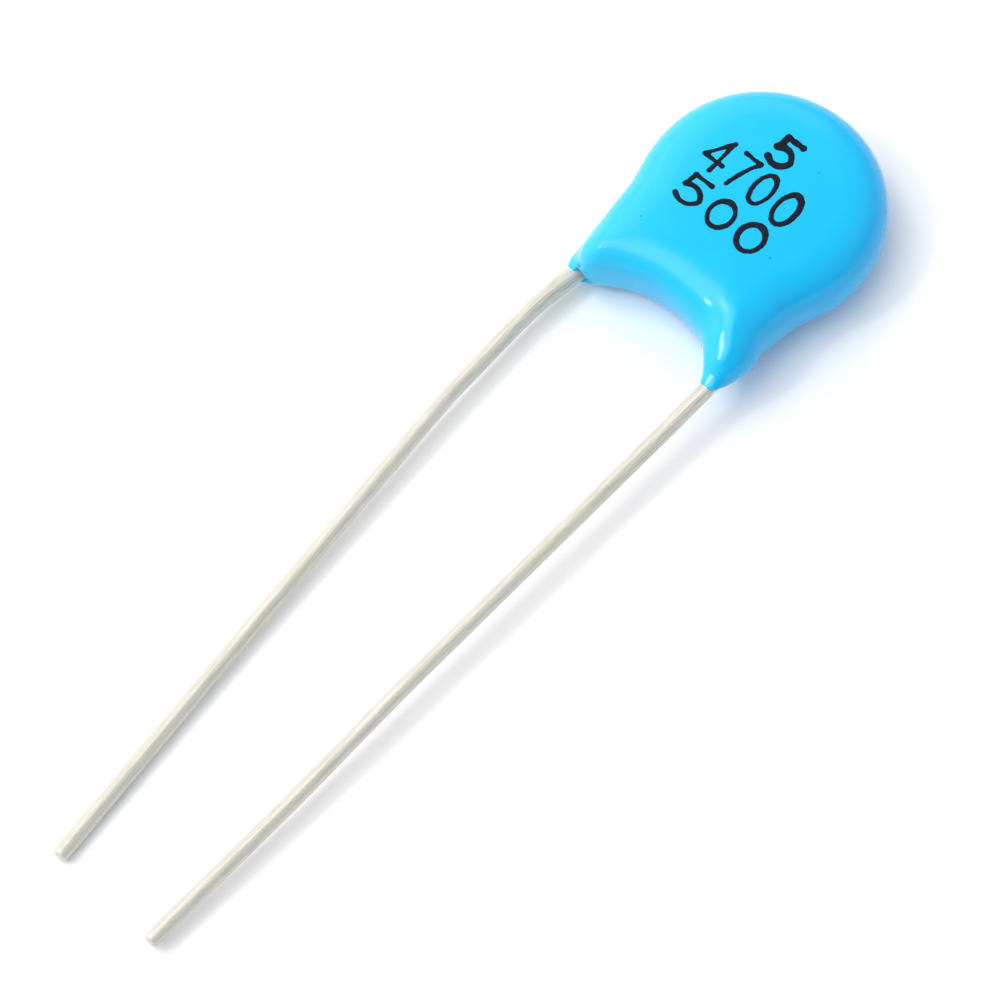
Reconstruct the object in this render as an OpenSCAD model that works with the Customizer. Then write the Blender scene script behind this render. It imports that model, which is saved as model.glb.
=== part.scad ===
// Ceramic disc capacitor with two straight radial leads and a blue dipped coating.
// Lengths are in mm. X runs across the leads, Y away from them, Z up through the printed front.
// It lies on its back: Z = 0 is the floor, and the disc's axis is at X = 0, Y = 0.

/* [Coated body] */
// Diameter of the coated disc
body_d = 9.2; // [9:0.1:12]
// Thickness of the coated disc at its middle
body_t = 3.4; // [3.2:0.1:4.4]
// Rounding of the disc's rim
rim_round = 1.5; // [1.2:0.05:1.55]
// How far each face falls away from its middle to the rim
face_dome = 0.12; // [0.06:0.01:0.2]
// Depth of the small flat that the back lies on
back_flat_depth = 0.04; // [0.02:0.01:0.06]

/* [Coated legs] */
// Distance between the leads where they leave the coating
lead_pitch = 6.9; // [6.5:0.1:7.4]
// Reach of the left leg past the disc's edge
left_leg_reach = 1.25; // [1.1:0.05:1.6]
// Reach of the right leg past the disc's edge
right_leg_reach = 2; // [1.6:0.05:2.5]
// Height of the right leg's mouth above the disc's middle
right_exit_z = 0.12; // [0:0.02:0.4]
// Coating left on the wire where a leg ends
leg_end_skin = 0.06; // [0.05:0.01:0.12]
// Least coating on the wire inside a leg
leg_skin = 0.12; // [0.1:0.01:0.2]
// Reach of the coating past the disc's edge between the legs
web_reach = 0.56; // [0.4:0.02:0.7]
// Radius of the arc between the legs
crotch_r = 3.7; // [3.4:0.1:4]
// Rounding where the faces turn down into that arc
crotch_round = 0.9; // [0.6:0.05:1.1]

/* [Ceramic and electrodes] */
// Diameter of the ceramic disc
ceramic_d = 7.8; // [7:0.1:8]
// Thickness of the ceramic disc
ceramic_t = 1.1; // [0.9:0.05:1.2]
// Diameter of each silver electrode
electrode_d = 6.9; // [6:0.1:7]
// Thickness of each silver electrode
electrode_t = 0.03; // [0.02:0.01:0.05]

/* [Leads] */
// Diameter of the lead wire
wire_d = 0.6; // [0.5:0.05:0.6]
// Distance from the disc's axis to the left lead's tip
tip_reach = 35; // [28:0.5:40]
// How much longer the right lead is cut
tip_step = 0.3; // [0:0.1:1]
// Distance between the tips
tip_pitch = 4.6; // [4:0.1:7]
// Height that the right lead's tip keeps above the floor
tip_lift = 0.25; // [0:0.05:0.5]
// Bevel that the cutter leaves round a tip
tip_bevel = 0.05; // [0.03:0.01:0.1]
// Radius of the bends that each lead makes inside its leg
knee_r = 3; // [2:0.1:4]
// Radius of the soft bends that each lead makes outside
sweep_r = 20; // [10:1:24]

/* [Solder joints] */
// Thickness of the solder round the wire
solder_wall = 0.2; // [0.15:0.01:0.25]
// Length of each soldered joint
solder_l = 2.6; // [2:0.1:3]

/* [Hidden] */

body_r = body_d / 2;
wire_r = wire_d / 2;
floor_z = back_flat_depth - body_t / 2;    // the floor, measured from the disc's middle
film_gap = 0.04;                           // solder under the wire
face_z = ceramic_t / 2 + electrode_t;      // outer face of an electrode
wire_z = face_z + film_gap + wire_r;       // middle of a wire laid on an electrode
bead = 0.003;                              // hair-thin collar where a bend joins a straight run
collar = 0.04;                             // half of that collar's length
slit = 0.01;                               // the ends inside a collar stand this far apart
resin = [0.13, 0.72, 0.95];
tin = [0.78, 0.77, 0.73];
silver = [0.8, 0.8, 0.82];
solder = [0.68, 0.69, 0.72];
fired_clay = [0.72, 0.62, 0.48];

// Where each lead leaves the coating. The left lead comes off the back of the disc, the right off the front.
leg_shift = -0.12;                         // the pair of legs sits a little left of the disc's axis
left_exit = [leg_shift - lead_pitch / 2, -body_r - left_leg_reach, -wire_z];
right_exit = [leg_shift + lead_pitch / 2, -body_r - right_leg_reach, right_exit_z];

// Each lead's tip. The left one rests on the floor.
tip_shift = 0.33;
left_tip = [tip_shift - tip_pitch / 2, -tip_reach, floor_z + wire_r];
right_tip = [tip_shift + tip_pitch / 2, -tip_reach - tip_step, floor_z + wire_r + tip_lift];

// The leads aren't quite straight. Each row is a soft bend: its share of the way from mouth to tip,
// then how far it stands off the straight line, to the right and up.
left_bow = [[0.1, -0.43, 0.1], [0.25, -0.5, 0.21], [0.64, -0.3, 0.02]];
right_bow = [[0.08, -0.06, -0.23], [0.56, -0.03, 0.1], [0.75, 0.04, 0.06]];
function bowed(a, b, bow) = [for (k = bow) a + (b - a) * k[0] + [k[1], 0, k[2]]];

// Each lead's path: soldered end, knee beside the ceramic, mouth, soft bends, tip.
knee = [0.65, -0.78] * body_r;
left_path = concat([[-0.9, 1, -wire_z], [-knee.x, knee.y, -wire_z], left_exit],
                   bowed(left_exit, left_tip, left_bow), [left_tip]);
right_path = concat([[0.9, 1, wire_z], [knee.x - 0.05, knee.y + 0.25, wire_z], right_exit],
                    bowed(right_exit, right_tip, right_bow), [right_tip]);

// ---------- helpers ----------
function unit(v) = v / norm(v);
function toward(a, b, t) = a + unit(b - a) * t;
function turn_at(a, b, c) = acos(unit(b - a) * unit(c - b));

// Places children with their X, Y and Z along u, v and w, at the point o.
module place(u, v, w, o)
    multmatrix([[u.x, v.x, w.x, o.x], [u.y, v.y, w.y, o.y], [u.z, v.z, w.z, o.z], [0, 0, 0, 1]])
        children();

// A round bar from a to b. Its radius may change to end_r.
module round_bar(a, b, r, end_r = undef) {
    w = unit(b - a);
    u = unit(cross([0, 0, 1], w));
    place(u, cross(w, u), w, a)
        cylinder(r1 = r, r2 = is_undef(end_r) ? r : end_r, h = norm(b - a), $fn = 48);
}

// The arc at b that joins the runs a-b and b-c.
module round_bend(a, b, c, turn_r, r) {
    start = unit(b - a);
    turn = turn_at(a, b, c);
    axis = unit(cross(start, unit(c - b)));
    inward = cross(axis, start);
    hub = b - start * turn_r * tan(turn / 2) + inward * turn_r;
    slip = slit / turn_r * 180 / PI;
    place(-inward, start, axis, hub)
        rotate([0, 0, slip]) rotate_extrude(angle = turn - 2 * slip, $fn = 96)
            translate([turn_r, 0]) circle(r = r, $fn = 48);
}

// A bend is tight inside the leg and soft outside it.
function bend_r(i) = i <= 2 ? knee_r : sweep_r;

// A round wire along a path of points, with a true arc at each inner point and a bevelled tip.
module wire(path) {
    last = len(path) - 1;
    trim = [for (i = [0:last]) i == 0 || i == last ? 0
            : bend_r(i) * tan(turn_at(path[i - 1], path[i], path[i + 1]) / 2)];
    for (i = [0:last - 1]) {
        near = toward(path[i], path[i + 1], trim[i] + (i == 0 ? 0 : slit));
        far = toward(path[i + 1], path[i], trim[i + 1] + (i == last - 1 ? tip_bevel : slit));
        round_bar(near, far, wire_r);
    }
    round_bar(toward(path[last], path[last - 1], tip_bevel + slit), path[last],
              wire_r - bead, wire_r - tip_bevel);
    for (i = [1:last - 1]) {
        round_bend(path[i - 1], path[i], path[i + 1], bend_r(i), wire_r);
        for (next = [i - 1, i + 1])
            round_bar(toward(path[i], path[next], trim[i] - collar),
                      toward(path[i], path[next], trim[i] + collar), wire_r + bead);
    }
}

// ---------- the coating's skin ----------
// A dipped coating has no edges. Its skin is where a smooth distance field is zero: simple rounded
// bodies, each melted into the next by a blend, as the wet resin does.

// Blends two distances: k is how far the melting reaches.
function melt(a, b, k) = let(h = max(k - abs(a - b), 0) / k) min(a, b) - h * h * h * k / 6;
function carve(a, b, k) = -melt(-a, b, k);

// Distance to a rod between a and b that tapers from radius ra to rb, in the plane or in space.
function taper(p, a, b, ra, rb) =
    let(l = norm(b - a), s = (ra - rb) / l, c = sqrt(1 - s * s), v = p - a, y = v * (b - a) / l,
        x = sqrt(max(v * v - y * y, 0)), k = c * y - s * x)
    k < 0 ? norm([x, y]) - ra : k > c * l ? norm([x, y - l]) - rb : c * x + s * y - ra;

// The outline seen from the front: the disc, a broad left shoulder, a tighter right one, and the web.
// Each is a tapered rod in the plane, from a heel inside the disc to a toe above its leg.
shoulder_r = 0.193 * body_r;
left_heel = [-0.13, -0.4] * body_r;
left_toe = [-0.42 * lead_pitch, -1.17 * body_r];
right_heel = [0.35, -0.53] * body_r;
right_toe = [0.392 * lead_pitch, -1.065 * body_r];
web_left = [-0.39, -0.72] * body_r;
web_right = [0.35, -0.72] * body_r;
web_r = 0.457 * body_r;
disc_melt = 0.35 * body_r;
side_melt = 0.2 * body_r;
function outline(p) =
    let(disc = norm(p) - body_r,
        left = taper(p, left_heel, left_toe, 0.7 * body_r, shoulder_r),
        right = taper(p, right_heel, right_toe, 0.455 * body_r, shoulder_r),
        web = taper(p, web_left, web_right, web_r, web_r))
    melt(melt(melt(disc, left, disc_melt), right, side_melt), web, side_melt);

// The outline as a pillow with domed faces and a round rim.
function pillow(p) =
    let(xy = [p.x, p.y], fall = face_dome * min(xy * xy / (body_r * body_r), 1.2),
        u = outline(xy) + rim_round, v = abs(p.z) - body_t / 2 + fall + rim_round)
    norm([max(u, 0), max(v, 0)]) + min(max(u, v), 0) - rim_round;

// The arc between the legs, leaning so that the back of the web stands out a little.
crotch_at = [leg_shift, -body_r - web_reach - crotch_r];
crotch_lean = 0.12;
function crotch(p) = norm([p.x - crotch_at.x, p.y - crotch_at.y + crotch_lean * p.z]) - crotch_r;

// Each leg is a tapered rod from its root in the body to the wire's mouth, melted with a sleeve that
// follows the wire, so that the wire stays covered.
leg_end_r = wire_r + leg_end_skin;
left_root = [-0.385 * lead_pitch, -0.913 * body_r, -0.023 * body_t];
right_root = [0.442 * lead_pitch, -1.115 * body_r, 0.059 * body_t];
leg_root_r = 0.21 * body_r;
leg_melt = 0.18 * body_r;
sleeve_melt = 0.35;
function sleeve(p, path) = taper(p, path[1], path[2], wire_r + leg_skin, leg_end_r);
function skin(p) =
    let(body = carve(pillow(p), crotch(p), crotch_round),
        left = taper(p, left_root, left_exit, 1.07 * leg_root_r, leg_end_r),
        right = taper(p, right_root, right_exit, 0.93 * leg_root_r, leg_end_r),
        legs = melt(melt(body, left, leg_melt), right, leg_melt))
    melt(melt(legs, sleeve(p, left_path), sleeve_melt), sleeve(p, right_path), sleeve_melt);

// Finds the skin along the ray from o in direction d, by halving and one straight-line step.
function reach(o, d, lo, hi, n) =
    n == 0 ? let(a = skin(o + d * lo), b = skin(o + d * hi)) lo + (hi - lo) * a / (a - b)
    : let(mid = (lo + hi) / 2) skin(o + d * mid) < 0 ? reach(o, d, mid, hi, n - 1)
    : reach(o, d, lo, mid, n - 1);

// The rays start on an ellipse inside the body and fan out. They stand closer together at the legs.
ring_n = 132;
face_rows = 3;
rim_rows = 26;
core = [0.58, 0.41] * body_r;
ray_l = 1.5 * body_r;
function spread(i) = let(t = 360 * i / ring_n) t - 90 - 28 * sin(t);
rows = concat(
    [for (i = [1:face_rows]) [i / (face_rows + 1), 90]],
    [for (i = [0:rim_rows]) [1, 90 - 180 * i / rim_rows]],
    [for (i = [face_rows:-1:1]) [i / (face_rows + 1), -90]]);
function ray_point(o, d) = let(e = unit(d)) o + e * reach(o, e, 0, ray_l, 9);
module skin_solid() {
    ring = [for (row = rows, i = [0:ring_n - 1]) let(a = spread(i), c = cos(row[1]))
        ray_point([core.x * cos(a), core.y * sin(a), 0] * row[0], [0.8 * c * cos(a), c * sin(a), sin(row[1])])];
    points = concat(ring, [ray_point([0, 0, 0], [0, 0, 1]), ray_point([0, 0, 0], [0, 0, -1])]);
    m = len(rows);
    quads = [for (j = [0:m - 2], i = [0:ring_n - 1]) let(n = (i + 1) % ring_n,
        a = j * ring_n + i, b = j * ring_n + n, c = a + ring_n, d = b + ring_n) each [[a, b, d], [a, d, c]]];
    caps = [for (i = [0:ring_n - 1]) let(n = (i + 1) % ring_n, k = (m - 1) * ring_n)
        each [[n, i, m * ring_n], [k + i, k + n, m * ring_n + 1]]];
    polyhedron(points = points, faces = concat(quads, caps), convexity = 6);
}

// ---------- inner pieces, drawn about the disc's middle ----------
module ceramic_shape() cylinder(d = ceramic_d, h = ceramic_t, center = true, $fn = 96);
module electrode_shape(side)
    translate([0, 0, side > 0 ? ceramic_t / 2 : -face_z]) cylinder(d = electrode_d, h = electrode_t, $fn = 96);

// Solder flowed round the buried end of a wire and flat on its electrode.
module solder_shape(path, side) {
    solder_r = wire_r + solder_wall;
    stop = toward(path[0], path[1], solder_l);
    intersection() {
        union() {
            round_bar(toward(path[0], path[1], -solder_wall), stop, solder_r);
            translate(stop) sphere(r = solder_r + bead, $fn = 48);
        }
        translate([-body_r, -body_r, side > 0 ? face_z : -face_z - body_t]) cube([body_d, body_d, body_t]);
    }
}
module joint(path, side) difference() {
    solder_shape(path, side);
    wire(path);
}

// ---------- the nodes ----------
module up() translate([0, 0, -floor_z]) children();
module coating() color(resin) difference() {
    up() skin_solid();
    translate([-body_d, -body_d, -body_t]) cube([2 * body_d, 2 * body_d, body_t]);
    up() ceramic_shape();
    for (side = [1, -1])
        up() electrode_shape(side);
    up() solder_shape(right_path, 1);
    up() solder_shape(left_path, -1);
    up() wire(left_path);
    up() wire(right_path);
}
module ceramic_disc() color(fired_clay) up() ceramic_shape();
module front_electrode() color(silver) up() electrode_shape(1);
module back_electrode() color(silver) up() electrode_shape(-1);
module front_solder() color(solder) up() joint(right_path, 1);
module back_solder() color(solder) up() joint(left_path, -1);
module left_lead() color(tin) up() wire(left_path);
module right_lead() color(tin) up() wire(right_path);

coating();
ceramic_disc();
front_electrode();
back_electrode();
front_solder();
back_solder();
left_lead();
right_lead();
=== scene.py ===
# %% [markdown]
# # A ceramic disc capacitor
# The real part is a disc of fired ceramic with silver on both faces, soldered between
# two tinned wires and dipped in coloured epoxy resin. The packed model already holds
# every size and stays fixed. This script gives the part its looks: a melted, glossy
# skin, drawn wires, stamped ink, a white table and soft light.

# %% Load the packed part
import math

import bpy
import numpy as np
from mathutils import Matrix, Vector


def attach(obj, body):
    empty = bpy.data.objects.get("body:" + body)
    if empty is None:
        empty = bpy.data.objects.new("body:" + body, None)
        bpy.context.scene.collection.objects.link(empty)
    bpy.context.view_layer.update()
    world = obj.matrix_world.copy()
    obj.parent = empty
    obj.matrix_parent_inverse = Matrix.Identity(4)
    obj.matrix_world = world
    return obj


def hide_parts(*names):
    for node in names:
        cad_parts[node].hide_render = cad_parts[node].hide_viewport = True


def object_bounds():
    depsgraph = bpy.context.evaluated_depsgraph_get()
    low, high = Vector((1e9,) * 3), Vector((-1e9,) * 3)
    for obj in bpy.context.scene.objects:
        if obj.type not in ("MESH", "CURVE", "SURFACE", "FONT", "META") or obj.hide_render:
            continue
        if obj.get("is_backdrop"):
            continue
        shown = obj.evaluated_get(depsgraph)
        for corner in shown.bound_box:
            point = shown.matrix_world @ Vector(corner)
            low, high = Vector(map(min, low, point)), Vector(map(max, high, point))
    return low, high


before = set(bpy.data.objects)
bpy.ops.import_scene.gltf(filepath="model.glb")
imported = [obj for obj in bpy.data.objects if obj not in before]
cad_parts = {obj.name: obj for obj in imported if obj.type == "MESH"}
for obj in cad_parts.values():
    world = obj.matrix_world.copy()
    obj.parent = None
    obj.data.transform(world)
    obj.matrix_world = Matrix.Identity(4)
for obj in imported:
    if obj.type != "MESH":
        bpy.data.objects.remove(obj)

cad_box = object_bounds()
MM = 0.001
print("nodes:", ", ".join(sorted(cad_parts)))
print("size in mm:", [round((high - low) / MM, 2) for low, high in zip(*cad_box)])

# %% [markdown]
# ## The sizes, in millimetres
# The part's own numbers are written once more here, because a script that loads a
# mesh can't ask it how it was made. Shapes are worked out in the disc's own frame,
# with z = 0 in the middle of the disc, and lifted onto the table at the end.

# %% Sizes of the disc, the legs and the wires
body_d, body_t = 9.2, 3.4
body_r = body_d / 2
rim_power, face_dome = 2.4, 0.12
lead_pitch, leg_shift = 6.9, -0.12
left_leg_reach, right_leg_reach = 1.25, 2.0
leg_end_skin, leg_skin = 0.06, 0.12
back_flat_depth, tip_lift = 0.04, 0.25
lift = body_t / 2 - back_flat_depth
wire_r, wire_z, right_exit_z = 0.3, 0.92, 0.12
leg_end_r = wire_r + leg_end_skin
knee_r, sweep_r = 3.0, 20.0
print("the disc's middle is", round(lift, 2), "mm above the table")

# %% The path of each wire
left_exit = np.array([leg_shift - lead_pitch / 2, -body_r - left_leg_reach, -wire_z])
right_exit = np.array([leg_shift + lead_pitch / 2, -body_r - right_leg_reach, right_exit_z])
left_tip = np.array([-1.97, -35.0, wire_r - lift])
right_tip = np.array([2.63, -35.3, wire_r - lift + tip_lift])
# Soft bends: the share of the way from mouth to tip, how far aside, how far up.
left_bow = ((0.065, -0.364, 0.065), (0.25, -0.50, 0.21), (0.64, -0.30, 0.02))
right_bow = ((0.08, -0.06, -0.23), (0.56, -0.03, 0.10), (0.75, 0.04, 0.06))


def bowed(start, end, bow):
    """Points part of the way from start to end, each pushed sideways and up."""
    return [start + (end - start) * part + np.array([side, 0, rise]) for part, side, rise in bow]


soldered_x, soldered_y = 0.9, 1.0
knee_x, knee_y = 0.65 * body_r, -0.78 * body_r
right_knee_x, right_knee_y = knee_x - 0.05, knee_y + 0.25
left_path = [
    np.array([-soldered_x, soldered_y, -wire_z]), np.array([-knee_x, knee_y, -wire_z]), left_exit,
    *bowed(left_exit, left_tip, left_bow), left_tip,
]
right_path = [
    np.array([soldered_x, soldered_y, wire_z]), np.array([right_knee_x, right_knee_y, wire_z]), right_exit,
    *bowed(right_exit, right_tip, right_bow), right_tip,
]
print("left wire leaves the resin at", left_exit.round(2), "and the right at", right_exit.round(2))

# %% [markdown]
# ## The camera
# The camera looks down on the table, turned 42 degrees to the part's left. A long
# lens from 230 mm away keeps the two wires nearly parallel. Its axes are worked out
# as three vectors, because a rotation read from vectors can't be a sign wrong.

# %% Place the camera
camera_turn, camera_rise = math.radians(41.856), math.radians(64.421)
image_pixels, pixels_per_mm = 1000, 28
camera_distance, field_width, sensor_width = 230.0, image_pixels / pixels_per_mm, 36.0
aim = Vector((0.186, -14.421, 0.0))
camera_right = Vector((math.cos(camera_turn), math.sin(camera_turn), 0))
camera_back = Vector((
    math.sin(camera_turn) * math.cos(camera_rise),
    -math.cos(camera_turn) * math.cos(camera_rise),
    math.sin(camera_rise),
))
camera_up = camera_back.cross(camera_right)

lens = bpy.data.cameras.new("camera")
lens.sensor_width = sensor_width
lens.lens = sensor_width * camera_distance / field_width
lens.clip_start, lens.clip_end = 0.01, 20
camera = bpy.data.objects.new("camera", lens)
bpy.context.scene.collection.objects.link(camera)
turn = Matrix((camera_right, camera_up, camera_back)).transposed().to_4x4()
camera.matrix_world = Matrix.Translation((aim + camera_back * camera_distance) * MM) @ turn
bpy.context.scene.camera = camera
print("focal length", round(lens.lens, 1), "mm")

# %% [markdown]
# ## The dipped skin as a field
# Wet resin rounds every edge and fills every corner between the disc and the legs.
# Bevels can't do that on such a shape, so the skin is a distance field: a function
# that is negative inside the resin and positive outside. `melt` joins two shapes as
# drops of liquid join, and `carve` cuts one from the other with the same soft edge.

# %% Soft joins and tapered bars
def melt(a, b, soft):
    """Join two fields, with a fillet about as wide as soft."""
    near = np.maximum(soft - np.abs(a - b), 0) / soft
    return np.minimum(a, b) - near**3 * soft / 6


def carve(a, b, soft):
    """Take b away from a, with a rounded edge."""
    return -melt(-a, b, soft)


def taper(p, start, end, start_r, end_r):
    """A bar with round ends whose radius runs from start_r to end_r."""
    start, end = np.asarray(start, float), np.asarray(end, float)
    length = np.linalg.norm(end - start)
    sine = (start_r - end_r) / length
    cosine = math.sqrt(1 - sine * sine)
    v = p - start
    y = v @ ((end - start) / length)
    x = np.sqrt(np.maximum((v * v).sum(-1) - y * y, 0))
    k = cosine * y - sine * x
    tail = np.hypot(x, y) - start_r
    head = np.hypot(x, y - length) - end_r
    return np.where(k < 0, tail, np.where(k > cosine * length, head, cosine * x + sine * y - start_r))


print("two touching drops melt", round(-float(melt(0.0, 0.0, 0.5)), 3), "mm deep into each other")

# %% The outline: disc, shoulders and the web between the legs
# Each bar of the outline: its start, its end, its radius at both.
shoulder_r, web_r = 0.193 * body_r, 0.457 * body_r
LEFT_SHOULDER = ((-0.13 * body_r, -0.4 * body_r), (-0.42 * lead_pitch, -1.17 * body_r),
                 0.7 * body_r, shoulder_r)
RIGHT_SHOULDER = ((0.35 * body_r, -0.53 * body_r), (0.392 * lead_pitch, -1.065 * body_r),
                  0.455 * body_r, shoulder_r)
WEB = ((-0.39 * body_r, -0.72 * body_r), (0.35 * body_r, -0.72 * body_r), web_r, web_r)
disc_melt, side_melt = 0.35 * body_r, 0.2 * body_r
dome_limit = 1.2


def outline(p):
    """The skin seen from above: the disc, and a shoulder that runs out to each leg."""
    disc = np.linalg.norm(p, axis=-1) - body_r
    shoulders = melt(melt(disc, taper(p, *LEFT_SHOULDER), disc_melt), taper(p, *RIGHT_SHOULDER), side_melt)
    return melt(shoulders, taper(p, *WEB), side_melt)


def pillow(p):
    """The outline given its thickness, faintly domed, its rim round without a seam."""
    flat = p[..., :2]
    fall = face_dome * np.minimum((flat * flat).sum(-1) / body_r**2, dome_limit)
    half = body_t / 2
    u = np.maximum(outline(flat) + half, 0)
    v = np.abs(p[..., 2]) * (half + fall) / half
    return (u**rim_power + v**rim_power) ** (1 / rim_power) - half


print("outline at the disc's far edge:", round(float(outline(np.array([0.0, body_r]))), 3), "mm")

# %% The skin: the outline's pillow, the arc between the legs, the legs
web_reach = 0.56
crotch_r, crotch_round, crotch_lean = 3.7, 0.9, 0.12
crotch_at = np.array([leg_shift, -body_r - web_reach - crotch_r])
left_root = np.array([-0.385 * lead_pitch, -0.913 * body_r, -0.023 * body_t])
right_root = np.array([0.442 * lead_pitch, -1.115 * body_r, 0.059 * body_t])
root_r, leg_melt, sleeve_melt = 0.21 * body_r, 0.18 * body_r, 0.35
left_root_r, right_root_r = 1.07 * root_r, 0.93 * root_r


def crotch(p):
    """The round bight between the legs, which leans a little."""
    return np.hypot(p[..., 0] - crotch_at[0], p[..., 1] - crotch_at[1] + crotch_lean * p[..., 2]) - crotch_r


def dipped_skin(p):
    """Negative inside the resin, positive outside."""
    skin = carve(pillow(p), crotch(p), crotch_round)
    skin = melt(skin, taper(p, left_root, left_exit, left_root_r, leg_end_r), leg_melt)
    skin = melt(skin, taper(p, right_root, right_exit, right_root_r, leg_end_r), leg_melt)
    for path in (left_path, right_path):
        skin = melt(skin, taper(p, path[1], path[2], wire_r + leg_skin, leg_end_r), sleeve_melt)
    return skin


print("the disc's middle is", round(-float(dipped_skin(np.zeros((1, 3)))[0]), 2), "mm below the skin")

# %% [markdown]
# ## From field to mesh
# A surface net walks over a grid of small boxes. Each box that the skin passes
# through gets one point, and points of neighbouring boxes are joined by squares.
# A few rounds of relaxing spread the points evenly, and a Newton step puts each
# one back exactly on the skin. The even squares shade more cleanly under gloss
# than the long triangles of a marching-cubes mesh.

# %% Slope and Newton step
def slope(field, p, step=1e-3):
    """The direction in which a field rises, by differences."""
    rise = [field(p + step * axis) - field(p - step * axis) for axis in np.eye(3)]
    return np.stack(rise, -1) / (2 * step)


def settle(field, p, rounds=3):
    """Move points along the slope onto the surface of the field."""
    for _ in range(rounds):
        g = slope(field, p)
        p = p - (field(p) / np.maximum((g * g).sum(-1), 1e-6))[:, None] * g
    return p


above = np.array([[0.0, 0.0, body_t]])
print("above the disc the field rises towards", slope(dipped_skin, above)[0].round(2))

# %% Surface net
def edge_cuts(field, low, high, cell):
    """Count the boxes. Find along each axis which edges cross the skin, where, and which start inside."""
    count = np.ceil((np.asarray(high) - low) / cell).astype(int) + 1
    ticks = [first + cell * np.arange(n) for first, n in zip(low, count)]
    corner = np.stack(np.meshgrid(*ticks, indexing="ij"), -1)
    value = np.stack([field(layer) for layer in corner])
    cuts = []
    for axis in range(3):
        a, b = np.moveaxis(value, axis, 0)[:-1], np.moveaxis(value, axis, 0)[1:]
        crossed = (a < 0) != (b < 0)
        part = np.where(crossed, a / np.where(crossed, a - b, 1), 0)
        spot = np.moveaxis(corner, axis, 0)[:-1] + part[..., None] * cell * np.eye(3)[axis]
        cuts.append([np.moveaxis(grid, 0, axis) for grid in (crossed, spot, a < 0)])
    return tuple(count - 1), cuts


def surface_net(field, low, high, cell):
    """Points and squares of the surface where the field is zero, out of boxes cell wide."""
    boxes, cuts = edge_cuts(field, low, high, cell)
    others = [(1, 2), (0, 2), (0, 1)]
    total, hits = np.zeros(boxes + (3,)), np.zeros(boxes)
    for (crossed, spot, _), pair in zip(cuts, others):
        for shift in ((0, 0), (0, 1), (1, 1), (1, 0)):
            window = [slice(None)] * 3
            for k, step in zip(pair, shift):
                window[k] = slice(step, step + boxes[k])
            window = tuple(window)
            total += np.where(crossed[window][..., None], spot[window], 0)
            hits += crossed[window]
    used = hits > 0
    number = np.full(boxes, -1)
    number[used] = np.arange(used.sum())
    squares = []
    for axis, (crossed, _, starts_inside) in enumerate(cuts):
        edge, quad = np.argwhere(crossed), []
        for shift in ((0, 0), (-1, 0), (-1, -1), (0, -1)):
            box = edge.copy()
            box[:, others[axis]] += shift
            quad.append(number[tuple(box.T)])
        quad = np.stack(quad, 1)
        turn_round = starts_inside[tuple(edge.T)] == (axis == 1)
        quad[turn_round] = quad[turn_round][:, ::-1]
        squares.append(quad)
    return total[used] / hits[used][:, None], np.concatenate(squares)


ball = surface_net(lambda p: np.linalg.norm(p, axis=-1) - 1, (-1.2,) * 3, (1.2,) * 3, 0.3)
print("a ball in boxes of 0.3 gives", len(ball[0]), "points and", len(ball[1]), "squares")

# %% Relax, soften and store
def joined(squares):
    """Both ends of every side of the squares, in both directions."""
    return np.concatenate([squares[:, [k, (k + 1) % 4]] for k in range(4)])


def relax(field, points, squares, rounds):
    """Even out the spacing of the points without leaving the surface."""
    ends = joined(squares)
    for _ in range(rounds):
        total, hits = np.zeros_like(points), np.zeros(len(points))
        np.add.at(total, ends[:, 0], points[ends[:, 1]])
        np.add.at(hits, ends[:, 0], 1)
        points = settle(field, 0.5 * points + 0.5 * total / hits[:, None], 1)
    return settle(field, points)


leg_ends_y, leg_ends_fade = -6.0, 0.8


def soften(points, squares, rounds):
    """Melt away faint creases. The ends of the legs are thin, and stay as they are."""
    ends = joined(squares)
    hits = np.bincount(ends[:, 0], minlength=len(points))
    hold = np.clip((points[:, 1:2] - leg_ends_y) / leg_ends_fade, 0, 1)
    for _ in range(rounds):
        total = np.stack([np.bincount(ends[:, 0], points[ends[:, 1], k], len(points)) for k in range(3)], 1)
        points = points + 0.5 * hold * (total / hits[:, None] - points)
    return points


def add_mesh(name, points, faces):
    """A smooth-shaded mesh object from points in millimetres in the disc's frame."""
    mesh = bpy.data.meshes.new(name)
    mesh.from_pydata(((points + [0, 0, lift]) * MM).tolist(), [], faces)
    mesh.validate()
    mesh.polygons.foreach_set("use_smooth", [True] * len(mesh.polygons))
    piece = bpy.data.objects.new(name, mesh)
    bpy.context.scene.collection.objects.link(piece)
    return piece


print("helpers ready:", ", ".join(made.__name__ for made in (relax, soften, add_mesh)))

# %% [markdown]
# ## The resin skin, with its small faults
# No dipped part is perfectly even. The skin gets long shallow waves, a tenth of a
# hair deep, which bend the reflections. Both legs are a little fuller than plain
# rods. At the left mouth the resin has chipped, so three small notches are cut there
# and one bead stands beside them. On the right leg the resin has run nearly flat at
# two spots, and each of them mirrors the lamp as one clear mark.

# %% Waves
resin_seed = 7
dice = np.random.default_rng(resin_seed)
wave_count, wave_depth = 9, 0.006
shortest_wave, longest_wave = 1.8, 4.5
wave_way = dice.normal(size=(wave_count, 3))
wave_length = dice.uniform(shortest_wave, longest_wave, wave_count)
wave_way *= (2 * math.pi / wave_length / np.linalg.norm(wave_way, axis=1))[:, None]
wave_phase = dice.uniform(0, 2 * math.pi, wave_count)


def waves(p):
    """Between 0 and about wave_depth, everywhere."""
    swell = np.sin(p @ wave_way.T + wave_phase).sum(-1) / math.sqrt(wave_count)
    return wave_depth * (0.5 + 0.25 * np.clip(swell, -2, 2))


print("waves", wave_length.round(1), "mm long")

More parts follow.
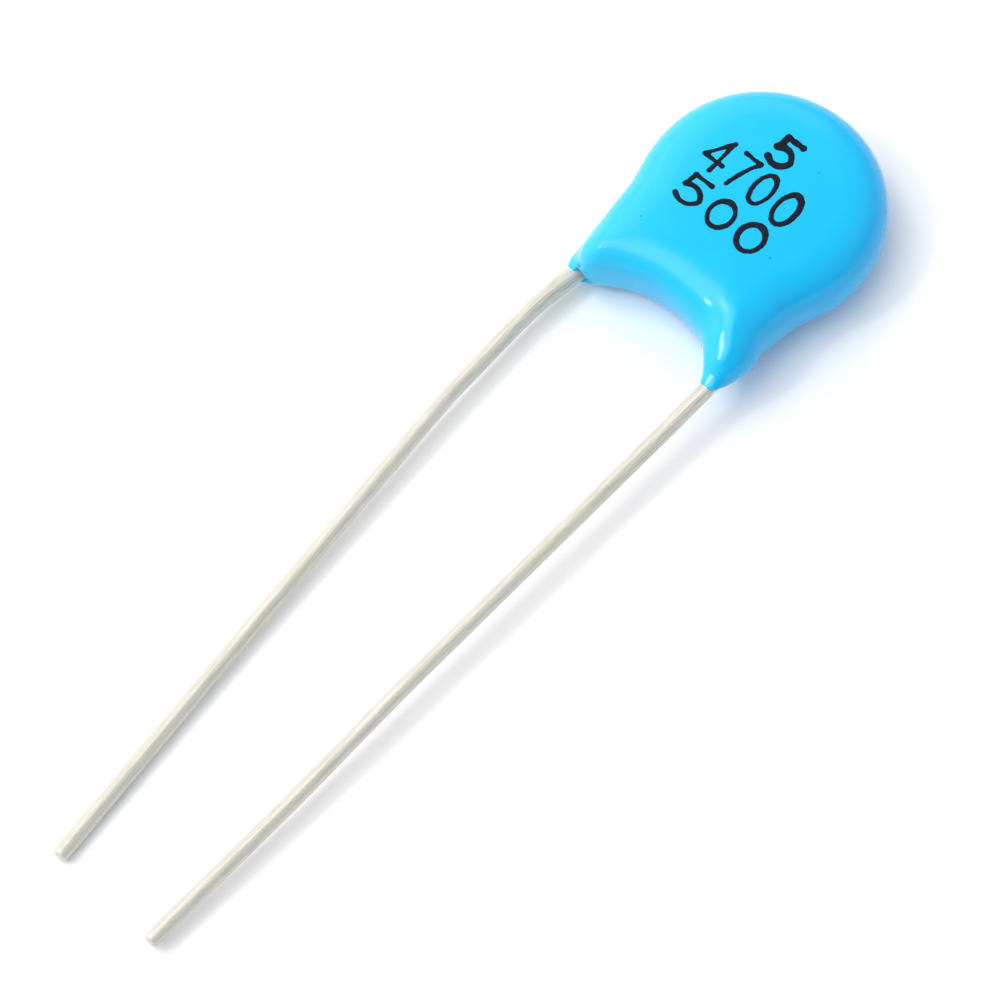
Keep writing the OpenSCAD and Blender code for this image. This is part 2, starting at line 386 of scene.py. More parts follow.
# %% The fuller legs and the chipped mouth
# Each bar that fills out a leg: its start, its end, its radius at both, how softly it melts in.
LEG_BARS = [
    ((2.37, -4.27, 0.62), (3.14, -5.67, 0.34), 0.92, 0.66, 0.5),
    ((-3.10, -4.80, -0.05), (-3.61, -5.70, -0.80), 0.82, 0.46, 0.4),
]
# Each notch: its start and its end from the left wire's exit, its radius at both.
NOTCHES = [
    ((0.22, -0.42, 0.42), (0.36, -0.05, 0.50), 0.26, 0.20),
    ((0.42, -0.20, 0.26), (0.60, 0.36, 0.34), 0.26, 0.16),
    ((0.36, -0.40, -0.10), (0.44, 0.02, -0.05), 0.22, 0.11),
]
# One bead of resin stands beside the notches: its middle and its radius.
BEAD, BEAD_R = left_exit + np.array([0.13, -0.26, 0.98]), 0.10
# The end of the right leg is cut back on its far flank: a point of the cut and its facing.
TRIM_AT, TRIM_WAY = np.array([3.60, -6.85, 0.32]), np.array([0.806, -0.427, -0.410])
notch_soft, bead_soft, trim_soft, flat_soft = 0.06, 0.05, 0.12, 0.01
print("notches:", len(NOTCHES), "round the left wire's exit at", left_exit.round(2))

# %% The two flats of the right leg
# Both face GLINT_WAY. Each has its middle, the way it runs, its curve along and across.
# The first ends with its length and its width, the second with its reach.
GLINT_WAY = np.array([-0.062, -0.451, 0.891])
LEG_FLAT = ((3.012, -5.628, 1.167), (0.347, -0.849, -0.406), -0.08, 0.30, 0.72, 0.45)
MOUTH_FLAT = ((3.261, -6.784, 0.448), (0.05, -0.85, -0.50), -0.10, 0.60, 0.38)
rim_rise, rim_curve = 1.2, 4.0


def flat_at(p, spot, run, curve_along, curve_across):
    """Distance above a faintly curved flat, and how far p lies along, across and out from its middle."""
    v = p - spot
    run = np.array(run)
    run = run - (run @ GLINT_WAY) * GLINT_WAY
    run = run / np.linalg.norm(run)
    along, across, out = v @ run, v @ np.cross(GLINT_WAY, run), v @ GLINT_WAY
    return out + (curve_along * along**2 + curve_across * across**2) / 2, along, across, out


def settle_flat(skin, p, spot, run, curve_along, curve_across, length, width):
    """Blend the skin into a flat, within an oval of that length and width."""
    flat, along, across, out = flat_at(p, spot, run, curve_along, curve_across)
    near = np.clip(1 - (along / length) ** 2 - (across / width) ** 2 - (out / width) ** 2, 0, 1)
    return skin + near**2 * (3 - 2 * near) * (flat - skin)


def shave_flat(skin, p, spot, run, curve_along, curve_across, reach):
    """Carve the skin back to a flat, not much further than reach from its middle."""
    flat, along, across, out = flat_at(p, spot, run, curve_along, curve_across)
    far = np.maximum(np.sqrt(along**2 + across**2 + out**2) - reach, 0)
    return carve(skin, rim_rise * far + rim_curve * far**2 - flat, flat_soft)


print("the flats' middles are", LEG_FLAT[0], "and", MOUTH_FLAT[0])

# %% The whole skin
def resin_skin(p):
    """The dipped skin with fuller legs, a chipped left mouth, a trimmed right one, flats and waves."""
    skin = dipped_skin(p)
    for start, end, start_r, end_r, soft in LEG_BARS:
        skin = melt(skin, taper(p, start, end, start_r, end_r), soft)
    for start, end, start_r, end_r in NOTCHES:
        skin = carve(skin, taper(p, left_exit + start, left_exit + end, start_r, end_r), notch_soft)
    skin = carve(skin, -(p - TRIM_AT) @ TRIM_WAY, trim_soft)
    skin = melt(skin, np.linalg.norm(p - BEAD, axis=-1) - BEAD_R, bead_soft)
    skin = shave_flat(settle_flat(skin, p, *LEG_FLAT), p, *MOUTH_FLAT)
    return skin + waves(p)


skin_low, skin_high = (-4.9, -7.2, -1.9), (4.9, 4.9, 1.9)
skin_cell = 0.06
relax_rounds, soften_rounds = 3, 40
points, squares = surface_net(resin_skin, skin_low, skin_high, skin_cell)
points = relax(resin_skin, points, squares, relax_rounds)
points = soften(points, squares, soften_rounds)
coating = add_mesh("resin_coating", points, squares.tolist())
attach(coating, "root")
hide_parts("coating")
print("resin skin:", len(points), "points,", len(squares), "squares")

# %% [markdown]
# ## The wires
# Each lead is one tinned copper wire: soldered to the disc, out through its leg, and
# down to the table in a few soft bends. A curve object could carry a round bevel, but
# the finish needs to know how far along and how far round each point is, so the wire
# is swept by hand and those numbers are stored with the mesh.

# %% The centreline of a wire
bend_steps = 26


def unit(v):
    return v / np.linalg.norm(v)


def centreline(path, radii, step):
    """Evenly spaced points along a path whose corners are rounded to the radii given."""
    last = len(path) - 1
    trim = [0.0] * (last + 1)
    for i in range(1, last):
        bend = math.acos(np.clip(unit(path[i] - path[i - 1]) @ unit(path[i + 1] - path[i]), -1, 1))
        trim[i] = radii[i - 1] * math.tan(bend / 2)
    line = []
    for i in range(last):
        way = unit(path[i + 1] - path[i])
        line += [path[i] + way * trim[i], path[i + 1] - way * trim[i + 1]]
        if i < last - 1:
            onward = unit(path[i + 2] - path[i + 1])
            bend = math.acos(np.clip(way @ onward, -1, 1))
            inward = np.cross(unit(np.cross(way, onward)), way)
            hub = line[-1] + inward * radii[i]
            for part in np.linspace(0, 1, bend_steps)[1:-1]:
                angle = bend * part
                line.append(hub - inward * radii[i] * math.cos(angle) + way * radii[i] * math.sin(angle))
    line = np.array(line)
    length = np.concatenate([[0], np.linalg.norm(np.diff(line, axis=0), axis=1).cumsum()])
    even = np.linspace(0, length[-1], int(length[-1] / step) + 1)
    return np.stack([np.interp(even, length, line[:, k]) for k in range(3)], 1), even


print("the left wire has", len(left_path) - 2, "bends and the right", len(right_path) - 2)

# %% Rounded tip and dents
wire_step, around = 0.12, 48
tip_round, tip_rings, tip_zone = 0.15, 9, 0.2
# Each dent has a length, a width in radians and a depth from these ranges.
dent_long, dent_wide, dent_depth = (0.3, 1.6), (0.25, 0.6), (0.001, 0.006)
dent_count, dent_limit = 60, 0.012


def tip_stations(along):
    """The stations along a wire, closer together where its tip is rounded."""
    arc = np.linspace(0, math.pi / 2, tip_rings)
    near_tip = along[-1] - tip_round * (1 - np.sin(arc))
    return np.concatenate([along[along < along[-1] - tip_zone], near_tip])


def dents(along, angle, seed):
    """How deep each station is dented at each angle, from drawing and handling."""
    roll = np.random.default_rng(seed)
    depth = np.zeros((len(along), len(angle)))
    for _ in range(dent_count):
        spot, facing = roll.uniform(along[0], along[-1]), roll.uniform(0, 2 * math.pi)
        long_way, wide = roll.uniform(*dent_long), roll.uniform(*dent_wide)
        turn_by = np.angle(np.exp(1j * (angle - facing)))
        depth += roll.uniform(*dent_depth) * np.outer(
            np.exp(-((along - spot) / long_way) ** 2), np.exp(-(turn_by / wide) ** 2))
    return np.minimum(depth, dent_limit)


print("a tip of", tip_rings, "rings, rounded by", tip_round, "mm")

# %% Sweep a wire along its path
swell_past_mouth, swell_length = 0.8, 1.3


def sweep_wire(name, path, seed, swell):
    """One lead: a round wire with faint dents, thicker tin past its mouth, and a snipped, rounded tip."""
    line, along = centreline(path, [knee_r, knee_r] + [sweep_r] * (len(path) - 4), wire_step)
    along = tip_stations(along)
    full = np.concatenate([[0], np.linalg.norm(np.diff(line, axis=0), axis=1).cumsum()])
    centre = np.stack([np.interp(along, full, line[:, k]) for k in range(3)], 1)
    way = np.gradient(centre, along, axis=0)
    way /= np.linalg.norm(way, axis=1)[:, None]
    side = np.cross(way, [0, 0, 1.0])
    side /= np.linalg.norm(side, axis=1)[:, None]
    over = np.cross(side, way)
    to_tip = np.clip(1 - (along[-1] - along) / tip_round, 0, 1)
    radius = wire_r - tip_round * (1 - np.sqrt(1 - to_tip**2))
    mouth_y = path[2][1]
    radius = radius + swell * np.exp(-((centre[:, 1] - mouth_y + swell_past_mouth) / swell_length) ** 2)
    angle = np.linspace(0, 2 * math.pi, around, endpoint=False)
    ring_r = radius[:, None] - dents(along, angle, seed)
    rim = (np.cos(angle)[None, :, None] * side[:, None] + np.sin(angle)[None, :, None] * over[:, None])
    points = (centre[:, None] + ring_r[..., None] * rim).reshape(-1, 3)
    rows = np.arange(len(along) - 1)[:, None] * around
    here, there = np.arange(around), np.roll(np.arange(around), -1)
    sides = np.stack([rows + here, rows + there, rows + around + there, rows + around + here], -1)
    ends = [list(range(around))[::-1], list(range(len(points) - around, len(points)))]
    piece = add_mesh(name, points, sides.reshape(-1, 4).tolist() + ends)
    grain = piece.data.attributes.new("grain", "FLOAT_VECTOR", "POINT")
    ring = np.stack(np.broadcast_arrays(np.cos(angle)[None], np.sin(angle)[None], along[:, None]), -1)
    grain.data.foreach_set("vector", ring.astype(np.float32).ravel())
    print(name, "is", round(float(along[-1]), 1), "mm long, with", len(piece.data.polygons), "faces")
    return piece


left_wire = sweep_wire("left_wire", left_path, seed=11, swell=0.05)
right_wire = sweep_wire("right_wire", right_path, seed=12, swell=0.0)
for wire, node in ((left_wire, "left_lead"), (right_wire, "right_lead")):
    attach(wire, "root")
    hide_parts(node)

# %% [markdown]
# ## The stamped figures
# The real part is marked with a rubber stamp: three short rows, strokes about a
# quarter of a millimetre wide with round, slightly swollen ends, and ink that fills
# sharp corners. Plain figures stand here. Each one is drawn as strokes, the strokes
# melt into one flat field, and the ink is a thin raised film that follows the skin
# below it.

# %% A smooth line through knots
def spline(knots, steps=10):
    """A smooth line through the knots."""
    k = np.asarray(knots, float)
    k = np.concatenate([[2 * k[0] - k[1]], k, [2 * k[-1] - k[-2]]])
    t = np.linspace(0, 1, steps, endpoint=False)[:, None]
    line = []
    for a, b, c, d in zip(k, k[1:], k[2:], k[3:]):
        line.append(0.5 * (2 * b + (c - a) * t + (2 * a - 5 * b + 4 * c - d) * t**2
                           + (3 * b - a - 3 * c + d) * t**3))
    return np.concatenate(line + [k[-2:-1]])


print("a line through three knots has", len(spline([(0, 0), (1, 1), (2, 0)])), "points")

# %% The figures, each in a box one unit wide and high
loop = np.linspace(0, 2 * math.pi, 33)
five_bowl = [(0.09, 0.56), (0.36, 0.65), (0.7, 0.6), (0.93, 0.33), (0.7, 0.06), (0.34, 0), (0.04, 0.12)]
FIGURES = {
    "0": [np.stack([0.5 + 0.46 * np.sin(loop), 0.5 + 0.5 * np.cos(loop)], 1)],
    "4": [np.array([(0.72, 1), (0.02, 0.3)]), np.array([(0.02, 0.3), (1, 0.3)]),
          np.array([(0.72, 1), (0.72, 0)])],
    "5": [np.array([(0.16, 1), (0.88, 1)]), np.array([(0.16, 1), (0.09, 0.56)]), spline(five_bowl)],
    "7": [np.array([(0.04, 1), (0.96, 1)]), spline([(0.96, 1), (0.62, 0.55), (0.4, 0)])],
}
# Each figure: which one, its middle, its width and height, half the stroke's width.
STAMP = [
    ("5", -0.33, 1.56, 0.95, 1.24, 0.125),
    ("4", -2.10, -0.05, 0.80, 1.40, 0.082), ("7", -1.03, -0.07, 0.76, 1.42, 0.084),
    ("0", 0.04, -0.10, 0.78, 1.38, 0.088), ("0", 1.20, -0.15, 0.84, 1.38, 0.108),
    ("5", -1.80, -1.79, 1.00, 1.14, 0.090), ("0", -0.42, -1.85, 1.00, 1.14, 0.095),
    ("0", 1.00, -1.86, 1.02, 1.14, 0.108),
]
print("figures to stamp:", " ".join(figure for figure, *_ in STAMP))

# %% Strokes with swollen ends and an uneven width
most_lean, most_growth, shake = 0.03, 0.03, 0.006
straight_steps = 8
stroke_scale, end_swell, end_length = 0.92, 0.32, 0.1
width_drift, drift_turns = 0.12, (0.6, 2.2)


def ink_strokes():
    """Every straight piece of every stroke: start, end, half width at each."""
    bars = []
    for figure, x, y, wide, high, half in STAMP:
        lean = dice.uniform(-most_lean, most_lean)
        size = dice.uniform(1 - most_growth, 1 + most_growth)
        for stroke in FIGURES[figure]:
            line = (stroke - 0.5) * [wide * size, high * size]
            line = line @ np.array([[math.cos(lean), math.sin(lean)], [-math.sin(lean), math.cos(lean)]])
            line += [x, y]
            if len(line) == 2:
                line = line[0] + (line[1] - line[0]) * np.linspace(0, 1, straight_steps)[:, None]
            run = np.linspace(0, 1, len(line))
            at_start, at_end = np.exp(-(run / end_length) ** 2), np.exp(-((1 - run) / end_length) ** 2)
            swell = 1 + end_swell * at_start + end_swell * at_end
            wobble = run * dice.uniform(*drift_turns) + dice.uniform()
            drift = 1 + width_drift * np.sin(2 * math.pi * wobble)
            width = stroke_scale * half * swell * drift
            line[1:-1] += dice.normal(0, shake, (len(line) - 2, 2))
            bars += list(zip(line[:-1], line[1:], width[:-1], width[1:]))
    return bars


ink_bars = ink_strokes()
print("the strokes break up into", len(ink_bars), "straight pieces")

# %% The ink seen from above, and the skin below it
no_ink, ink_reach, ink_melt, edge_rough = 9.0, 0.6, 0.05, 0.008
height_rounds, least_slope = 6, 0.2


def ink_field(p, bars):
    """Negative where there is ink, with a slightly rough edge."""
    field = np.full(p.shape[:-1], no_ink)
    for start, end, start_r, end_r in bars:
        low, high = np.minimum(start, end) - ink_reach, np.maximum(start, end) + ink_reach
        near = ((p > low) & (p < high)).all(-1)
        if near.any():
            v, way = p[near] - start, end - start
            t = np.clip(v @ way / max(way @ way, 1e-9), 0, 1)
            away = np.linalg.norm(v - t[:, None] * way, axis=-1) - (start_r + (end_r - start_r) * t)
            field[near] = melt(field[near], away, ink_melt)
    x, y = p[..., 0], p[..., 1]
    rough = np.sin(x * 41 + 3 * np.sin(y * 23)) * np.sin(y * 37 + 2 * np.sin(x * 29))
    return field + edge_rough * rough


def skin_height(flat):
    """Height of the skin's front over points seen from above, by Newton steps."""
    z = np.full(len(flat), body_t / 2)
    for _ in range(height_rounds):
        p = np.column_stack([flat, z])
        z = z - resin_skin(p) / np.maximum(slope(resin_skin, p)[:, 2], least_slope)
    return z


print("the skin over the middle is", round(float(skin_height(np.zeros((1, 2)))[0]), 3), "mm up")

# %% The grid cells that the ink covers
ink_cell = 0.022
ink_low, ink_high = (-2.9, -2.8), (2.1, 2.5)
keep_share, edge_share = 0.8, 0.3
CELL_CORNERS = ((0, 0), (1, 0), (1, 1), (0, 1))


def at_corner(grid, dx, dy):
    """A view of the grid that holds one corner of every cell."""
    return grid[dx:grid.shape[0] - 1 + dx, dy:grid.shape[1] - 1 + dy]


ticks = [np.arange(low, high, ink_cell) for low, high in zip(ink_low, ink_high)]
flat = np.stack(np.meshgrid(*ticks, indexing="ij"), -1)
ink = ink_field(flat, ink_bars)
keep = ink < keep_share * ink_cell
cells = np.logical_and.reduce([at_corner(keep, *step) for step in CELL_CORNERS])
used = np.zeros_like(keep)
for step in CELL_CORNERS:
    view = at_corner(used, *step)
    view |= cells
number = np.full(keep.shape, -1)
number[used] = np.arange(used.sum())
squares = np.stack([at_corner(number, *step)[cells] for step in CELL_CORNERS], 1)
print("ink:", len(squares), "squares over", len(STAMP), "figures")

# %% Lay the ink on the skin
film, film_edge, film_foot, film_depth = 0.014, 0.05, 0.002, 0.02
grad = np.stack(np.gradient(ink, ink_cell), -1)
spots, depth = flat[used], ink[used]
edge = depth > -edge_share * ink_cell
spots = spots - np.where(edge, depth, 0)[:, None] * grad[used]
height = film_foot + film * np.sqrt(1 - (1 - np.clip(-depth / film_edge, 0, 1)) ** 2)
ink_points = np.column_stack([spots, skin_height(spots) + height])
print_ink = add_mesh("stamped_ink", ink_points, squares.tolist())
thick = print_ink.modifiers.new("film", "SOLIDIFY")
thick.thickness, thick.offset = film_depth * MM, -1
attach(print_ink, "root")
print("the ink stands up to", film_foot + film, "mm above the skin")

# %% [markdown]
# ## Materials as sums
# A material is a small calculation over the surface. The class below wraps the
# output of a node, so that `1 - mask * 0.4` adds the Math nodes for that sum. Every
# other node comes from `Finish.node`, which sets the node up first and then fills its
# sockets.

# %% A socket that can be calculated with
class Signal:
    """The output of a node, for use in sums."""

    def __init__(self, finish, socket):
        self.finish, self.socket = finish, socket

    def maths(self, operation, first, second):
        if self.socket.type == "VECTOR":
            return self.finish.node("VectorMath", {"operation": operation}, {0: first, 1: second})
        return self.finish.node("Math", {"operation": operation}, {0: first, 1: second})

    def __add__(self, other):
        return self.maths("ADD", self, other)

    def __sub__(self, other):
        return self.maths("SUBTRACT", self, other)

    def __rsub__(self, other):
        return self.maths("SUBTRACT", other, self)

    def __mul__(self, other):
        return self.maths("MULTIPLY", self, other)

    __radd__, __rmul__ = __add__, __mul__


class Finish:
    """A material. Its method node adds each node, and the others call that one."""

    def __init__(self, name, owner=None):
        self.material = owner or bpy.data.materials.new(name)
        self.material.use_nodes = True
        self.tree = self.material.node_tree
        self.tree.nodes.clear()

    def node(self, kind, settings=None, sockets=None, out=0):
        made = self.tree.nodes.new("ShaderNode" + kind)
        for key, value in (settings or {}).items():
            setattr(made, key, value)
        for key, value in (sockets or {}).items():
            if isinstance(value, Signal):
                self.tree.links.new(value.socket, made.inputs[key])
            else:
                made.inputs[key].default_value = value
        return Signal(self, made.outputs[out]) if made.outputs else None

    def noise(self, where, scale, detail=2.0):
        sockets = {"Vector": where, "Scale": scale, "Detail": detail}
        return self.node("TexNoise", {}, sockets, "Fac")

    def dot(self, where, way):
        """How far a place, or a normal, goes in one direction."""
        return self.node("VectorMath", {"operation": "DOT_PRODUCT"}, {0: where, 1: way}, "Value")

    def ramp(self, value, low, high):
        """0 at low, 1 at high, and a smooth rise between."""
        sockets = {"Value": value, "From Min": low, "From Max": high}
        return self.node("MapRange", {"interpolation_type": "SMOOTHSTEP"}, sockets)

    def blend(self, mask, first, second):
        """The first colour where the mask is 0 and the second where it is 1."""
        return self.node("Mix", {"data_type": "RGBA"}, {0: mask, 6: first, 7: second}, 2)

    def bump(self, height, distance_mm, strength=1.0):
        return self.node("Bump", {}, {"Height": height, "Distance": distance_mm * MM, "Strength": strength})

    def surface(self, **sockets):
        """Close the material with one Principled shader, and give the material back."""
        named = {key.replace("_", " "): value for key, value in sockets.items()}
        self.node("OutputMaterial", {}, {"Surface": self.node("BsdfPrincipled", {}, named)})
        return self.material


def wear(piece, material):
    """Put one material on a piece."""
    piece.data.materials.clear()
    piece.data.materials.append(material)


print("reflected sums of a socket:", ", ".join(name for name in vars(Signal) if name.startswith("__r")))

# %% [markdown]
# ## The resin's finish
# Epoxy resin with a strong cyan pigment: an even, deep colour under a clear gloss.
# The colour carries painted light: a paler, slightly redder painted sheen on the faces
# turned to the left flank, and a deeper painted shade on the faces turned from the
# window and towards the right. The gloss is a little duller in patches, and three
# dark specks of dust are set into it.

# %% The resin's colours
BLUE, BLUE_LIGHT = (0.003, 0.575, 0.900, 1), (0.005, 0.610, 0.930, 1)
# On this line: a deeper blue for painted shade, and a paler, redder blue for a painted sheen.
PAINTED_SHADE_BLUE, PAINTED_SHEEN_BLUE = (0.006, 0.470, 0.900, 1), (0.028, 0.590, 0.920, 1)
DUST_COLOUR = (0.003, 0.12, 0.22, 1)
# Three directions: to the right over the disc, up to the window, out from the left flank.
RIGHTWARDS, WINDOWWARDS, FLANKWARDS = (0.98, 0.2, 0.0), (-0.42, -0.40, 0.81), (-0.80, -0.50, 0.33)
# Each speck of dust: its middle in the disc's frame and its radius, in mm.
SPECKS = ((2.035, -2.003, 1.654, 0.07), (1.096, 1.781, 1.675, 0.05), (-2.553, -3.774, 1.579, 0.06))
print("specks of dust:", len(SPECKS))

# %% Resin
resin = Finish("blue_resin")
place = resin.node("TexCoord", out="Object")
normal = resin.node("NewGeometry", out="Normal")
across = resin.dot(place, RIGHTWARDS)
settled = resin.noise(place, 240.0, 3.0)
mottle = resin.noise(place, 1300.0, 4.0)
cloud = resin.ramp(settled * 0.7 + mottle * 0.3, 0.35, 0.65)
# Painted shade: a deeper blue towards the right of the disc and on faces turned away from the window.
painted_shade = resin.ramp(across, -5 * MM, 5 * MM) * 0.45
painted_shade = painted_shade + resin.ramp(resin.dot(normal, WINDOWWARDS), 1.0, -0.1) * 0.75
# Painted sheen: a paler, redder blue on faces turned to the left flank and on the left of the disc.
painted_sheen = resin.ramp(resin.dot(normal, FLANKWARDS), 0.35, 0.80) * 0.6
painted_sheen = painted_sheen + resin.ramp(across, -1 * MM, -4.5 * MM) * 0.6
dust = 0.0
for x, y, z, speck_r in SPECKS:
    spot = (x * MM, y * MM, (z + lift) * MM)
    away = resin.node("VectorMath", {"operation": "DISTANCE"}, {0: place, 1: spot}, "Value")
    dust = dust + (1 - resin.ramp(away, 0.4 * speck_r * MM, speck_r * MM))
pigment = resin.blend(cloud, BLUE, BLUE_LIGHT)
# The painted shade and the painted sheen are laid over the pigment, then the real specks of dust.
for mask, colour in ((painted_shade, PAINTED_SHADE_BLUE), (painted_sheen, PAINTED_SHEEN_BLUE), (dust * 0.55, DUST_COLOUR)):
    pigment = resin.blend(mask, pigment, colour)
wear(coating, resin.surface(
    Base_Color=pigment,
    Roughness=0.15 + resin.noise(place, 900.0, 2.0) * 0.07,
    IOR=1.42,
    Normal=resin.bump(resin.noise(place, 1100.0, 2.0), 0.004),
))
print("resin:", len(resin.tree.nodes), "nodes")

# %% [markdown]
# ## The wires' finish
# Tinned copper is a soft, pale, slightly creamy metal. Drawing it through a die
# leaves fine lines and a few darker furrows that run lengthwise, plainest near the
# resin, and handling dulls it in patches. The stored numbers give the place on the
# wire, so the noise can be stretched along it.

# %% Tinned wire
TIN_DARK, TIN_BRIGHT = (0.645, 0.635, 0.55, 1), (0.735, 0.725, 0.64, 1)
FURROW_COLOUR, DULL_COLOUR = (0.38, 0.34, 0.26, 1), (0.60, 0.57, 0.50, 1)
tinned = Finish("tinned_wire")
grain = tinned.node("Attribute", {"attribute_name": "grain"}, {}, "Vector")
along = tinned.node("SeparateXYZ", {}, {0: grain}, "Z")
drawn = tinned.noise(grain * (4.5, 4.5, 0.55), 1.0, 3.0)
fine = tinned.noise(grain * (9.0, 9.0, 1.3), 1.0, 3.0)
patch = tinned.noise(grain * (1.2, 1.2, 0.9), 1.0, 4.0)
coarse = 1 - tinned.ramp(along, 8.0, 17.0) * 0.8
streaks = tinned.ramp(drawn * 0.5 + fine * 0.5, 0.36, 0.62)
furrows = tinned.ramp(fine * 0.6 + drawn * 0.4, 0.49, 0.40) * coarse
dull = tinned.ramp(patch, 0.55, 0.75)
tin = tinned.blend(streaks, TIN_DARK, TIN_BRIGHT)
tin = tinned.blend(furrows * 0.45, tin, FURROW_COLOUR)
tin = tinned.blend(dull * 0.3, tin, DULL_COLOUR)
tin_metal = tinned.surface(
    Base_Color=tin,
    Metallic=0.40,
    Roughness=0.36 + patch * 0.14,
    Normal=tinned.bump((drawn * 0.5 + fine * 0.5) * coarse, 0.05, 0.7),
)
for wire in (left_wire, right_wire):
    wear(wire, tin_metal)
print("wire:", len(tinned.tree.nodes), "nodes")

# %% [markdown]
# ## Ink, and the pieces inside the resin
# Stamping ink is a matt blue-black that lets a little of the blue through where the
# film is thin. The disc, its silver and its solder are hidden, and they still get
# their own plain finishes, because the part may be shown cut open.

# %% Ink
INK_BLACK, INK_THIN = (0.003, 0.003, 0.012, 1), (0.006, 0.022, 0.075, 1)
ink_finish = Finish("stamping_ink")
place = ink_finish.node("TexCoord", out="Object")
thin_ink = ink_finish.ramp(ink_finish.noise(place, 5200.0, 3.0), 0.45, 0.75)
wear(print_ink, ink_finish.surface(
    Base_Color=ink_finish.blend(thin_ink * 0.5, INK_BLACK, INK_THIN),
    Specular_IOR_Level=0.2,
    Roughness=0.50 + ink_finish.noise(place, 3000.0) * 0.2,
    Normal=ink_finish.bump(ink_finish.noise(place, 9000.0), 0.006),
))
print("ink:", len(ink_finish.tree.nodes), "nodes")


# %% Ceramic, silver and solder
def inner_finish(name, dark, light, metallic, roughness, scale, bump_mm):
    """A plain mottled finish."""
    finish = Finish(name)
    place = finish.node("TexCoord", out="Object")
    cloud = finish.noise(place, scale, 4.0)
    return finish.surface(
        Base_Color=finish.blend(finish.ramp(cloud, 0.35, 0.65), dark, light),
        Metallic=metallic,
        Roughness=roughness + cloud * 0.15,
        Normal=finish.bump(finish.noise(place, scale * 4, 3.0), bump_mm),
    )


# Each finish: darker and lighter colour, metallic, roughness, scale of the mottle, bump in mm, nodes.
INNER_FINISHES = {
    "fired_ceramic": ((0.42, 0.30, 0.20, 1), (0.55, 0.42, 0.29, 1), 0.0, 0.6, 2500.0, 0.01,
                      ["ceramic_disc"]),
    "fired_silver": ((0.66, 0.65, 0.62, 1), (0.80, 0.79, 0.76, 1), 1.0, 0.38, 3500.0, 0.005,
                     ["front_electrode", "back_electrode"]),
    "solder": ((0.58, 0.59, 0.61, 1), (0.74, 0.75, 0.77, 1), 1.0, 0.22, 1500.0, 0.01,
               ["front_solder", "back_solder"]),
}
for name, (*traits, nodes) in INNER_FINISHES.items():
    material = inner_finish(name, *traits)
    for node in nodes:
        wear(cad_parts[node], material)
print("materials:", len(bpy.data.materials))

# %% [markdown]
# ## The table and the light
# A small glossy part on a white table stands beside a large window: broad, slightly
# warm light from the front left, lower glows from the left and the back left, and a
# dim, cool room in front, behind and on the right. Lamps would leave hard-edged discs
# in the gloss, so the light is painted into the sky as seven soft lobes. Two suns are
# the bright cores: a wide one for the window and a narrow one for a lamp, which gives
# the small white marks on the resin. The table glows very faintly in its own colour,
# so that its far parts stay white.

# %% White table
floor_half, table_glow = 1.5, 0.03
TABLE_COLOURS = (0.975, 0.975, 0.975, 1), (0.985, 0.985, 0.985, 1)
floor_mesh = bpy.data.meshes.new("table")
corners = [(-1, -1), (1, -1), (1, 1), (-1, 1)]
floor_mesh.from_pydata([(x * floor_half, y * floor_half, 0) for x, y in corners], [], [(0, 1, 2, 3)])
table = bpy.data.objects.new("table", floor_mesh)
bpy.context.scene.collection.objects.link(table)
table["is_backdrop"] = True
white = Finish("white_table")
paper = white.noise(white.node("TexCoord", out="Object"), 60.0, 2.0)
seen = white.node("LightPath", out="Is Camera Ray") + white.node("LightPath", out="Is Glossy Ray")
seen = seen + white.node("LightPath", out="Is Transmission Ray")
wear(table, white.surface(
    Base_Color=white.blend(paper, *TABLE_COLOURS),
    Roughness=0.9,
    Specular_IOR_Level=0.0,
    Emission_Color=white.blend(seen, (0, 0, 0, 1), (1, 1, 1, 1)),
    Emission_Strength=table_glow,
))
print("table:", 2 * floor_half, "m wide, with", len(white.tree.nodes), "nodes")


# %% The seven lobes of the sky
def direction(turn, rise):
    """Towards a point of the sky: turn from the part's front to its right, and rise, in degrees."""
    turn, rise = math.radians(turn), math.radians(rise)
    return Vector((math.sin(turn) * math.cos(rise), -math.cos(turn) * math.cos(rise), math.sin(rise)))


ROOM, HORIZON = (0.235, 0.235, 0.28, 1), (1.0, 1.0, 1.0, 1)
horizon_full, horizon_end = 0.05, 0.11
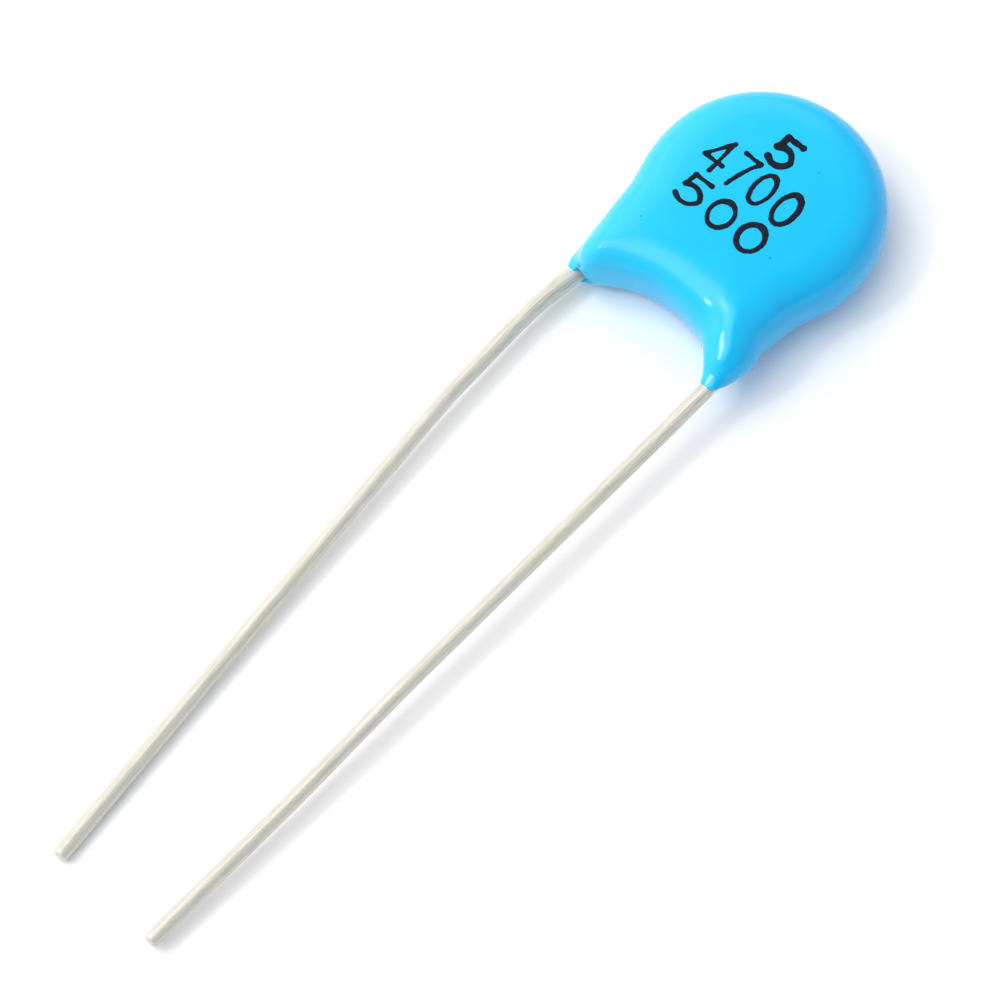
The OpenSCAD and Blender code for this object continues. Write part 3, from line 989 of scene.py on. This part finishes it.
# Each lobe: turn, rise, radius where it ends, radius where it is full, colour.
LOBES = [
    (-45, 60, 50, 15, (0.50, 0.48, 0.45, 1)),
    (-50, 70, 28, 8, (2.50, 2.43, 2.35, 1)),
    (-128, 32, 34, 18, (1.00, 0.92, 0.84, 1)),
    (-72, 14, 40, 14, (1.20, 1.00, 0.85, 1)),
    (180, 30, 50, 15, (0.29, 0.30, 0.33, 1)),
    (0, 24, 45, 12, (0.38, 0.50, 0.52, 1)),
    (130, 30, 50, 15, (0.26, 0.31, 0.31, 1)),
]
sky = bpy.data.worlds.new("window_room")
bpy.context.scene.world = sky
room = Finish("window_room", sky)
look = room.node("TexCoord", out="Generated")
light = ROOM
for turn, rise, end, full, colour in LOBES:
    facing = room.dot(look, direction(turn, rise))
    share = room.ramp(facing, math.cos(math.radians(end)), math.cos(math.radians(full)))
    light = room.node("Mix", {"data_type": "RGBA", "blend_type": "ADD"}, {0: share, 6: light, 7: colour}, 2)
up = room.node("SeparateXYZ", {}, {0: look}, "Z")
light = room.blend(room.ramp(up, horizon_full, horizon_end), HORIZON, light)
room.node("OutputWorld", {}, {"Surface": room.node("Background", {}, {"Color": light, "Strength": 1.0})})
print("sky:", len(LOBES), "lobes and", len(room.tree.nodes), "nodes")

# %% The two bright cores
# Each core: name, turn, rise, width in degrees, share of the table's light.
CORES = [("window_core", -82, 55, 16, 0.08), ("lamp_core", -38, 49, 7, 0.12)]
for name, turn, rise, width, share in CORES:
    core = bpy.data.lights.new(name, "SUN")
    core.angle = math.radians(width)
    core.energy = share * math.pi
    holder = bpy.data.objects.new(name, core)
    holder.rotation_mode = "QUATERNION"
    holder.rotation_quaternion = direction(turn, rise).to_track_quat("Z", "Y")
    bpy.context.scene.collection.objects.link(holder)
bpy.context.scene.view_settings.view_transform = "Standard"
print("cores:", ", ".join(name for name, *_ in CORES))

# %% Sizes of the part and of the model
model_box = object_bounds()
boxes = {"cad": [list(corner) for corner in cad_box], "model": [list(corner) for corner in model_box]}
for name, (low, high) in boxes.items():
    print(name, "box in mm:", [round(v / MM, 3) for v in low], [round(v / MM, 3) for v in high])
